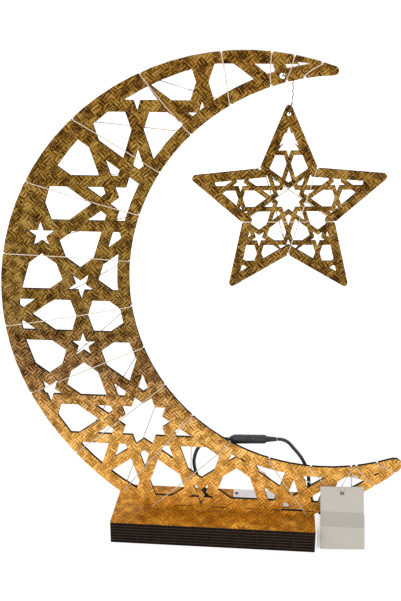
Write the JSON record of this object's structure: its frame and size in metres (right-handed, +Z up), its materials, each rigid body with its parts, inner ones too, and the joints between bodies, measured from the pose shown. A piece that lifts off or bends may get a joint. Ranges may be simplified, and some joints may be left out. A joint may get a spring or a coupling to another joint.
{
  "type": "crescent moon centerpiece",
  "caption": "Table-top crescent moon cut with girih fretwork, on a layered base, wound with a light wire; a matching star hangs in its opening, with a supply cord and blank tags.",
  "frame": {"origin": "centre of the underside of the layered base, on the table", "axes": "+Z up, +X to the right as seen from the front, +Y away from the viewer; the gold faces look along -Y"},
  "size_m": [0.3357, 0.0789, 0.4106],
  "materials": {
    "charred_board": "laser-cut fibreboard, edges burnt dark",
    "gold_foil": "gold foil on paper, embossed, satin sheen",
    "copper_wire": "fine lacquered wire with clear lamp beads",
    "dark_wire": "thin dull wire",
    "black_lead": "soft PVC sheath",
    "black_plastic": "moulded, fine matt",
    "plated_metal": "plated, bright",
    "clear_plastic": "clear, thin",
    "tag_paper": "uncoated card, warm grey",
    "card_paper": "uncoated white card"
  },
  "bodies": {
    "stand": {"base_sheet_1": "charred_board", "base_sheet_2": "charred_board", "base_sheet_3": "charred_board", "base_sheet_4": "charred_board", "base_sheet_5": "charred_board", "base_sheet_6": "charred_board", "base_sheet_7": "charred_board", "base_foil": "gold_foil", "crescent_panel": "charred_board", "crescent_foil": "gold_foil", "moon_light_wire_upper": "copper_wire", "moon_light_wire_lower": "copper_wire", "hanger_anchor": "dark_wire", "splice_sleeve": "black_plastic", "moon_lead": "black_lead", "lead_socket": "black_plastic", "socket_pin": "plated_metal", "plug_barrel": "plated_metal", "supply_plug": "black_plastic", "plug_relief": "black_plastic", "supply_lead": "black_lead", "supply_coil": "black_lead", "supply_tail": "black_lead", "usb_plug_body": "black_plastic", "usb_plug_shell": "plated_metal", "tag_loop_wrap": "clear_plastic", "lying_card": "card_paper", "card_eyelet": "black_plastic"},
    "hanger_wire": {"hanger_wire": "dark_wire"},
    "hanger_ring": {"hanger_ring": "dark_wire"},
    "star": {"star_panel": "charred_board", "star_foil": "gold_foil", "star_light_wire": "copper_wire"},
    "tag_loop": {"tag_loop": "clear_plastic"},
    "tags": {"front_tag": "tag_paper", "rear_tag": "card_paper"}
  },
  "joints": [
    {"name": "star_swing", "type": "hinge", "parent": "stand", "child": "hanger_wire", "pos_m": [0.0563, -0.0035, 0.38913], "axis": [0, 1, 0], "range_deg": [-30, 10]},
    {"name": "star_swivel", "type": "hinge", "parent": "hanger_wire", "child": "hanger_ring", "pos_m": [0.05622, -0.00568, 0.37443], "axis": [0, 0, 1], "range_deg": [-90, 90]},
    {"name": "star_rock", "type": "hinge", "parent": "hanger_ring", "child": "star", "pos_m": [0.05395, -0.00568, 0.36458], "axis": [1, 0, 0], "range_deg": [-20, 20]},
    {"name": "tag_loop_lift", "type": "hinge", "parent": "stand", "child": "tag_loop", "pos_m": [0.11719, -0.0081, 0.06667], "axis": [1, 0, 0], "range_deg": [-75, 0]},
    {"name": "tag_lift", "type": "hinge", "parent": "tag_loop", "child": "tags", "pos_m": [0.10999, -0.0127, 0.04737], "axis": [1, 0, 0], "range_deg": [-30, 0]}
  ]
}
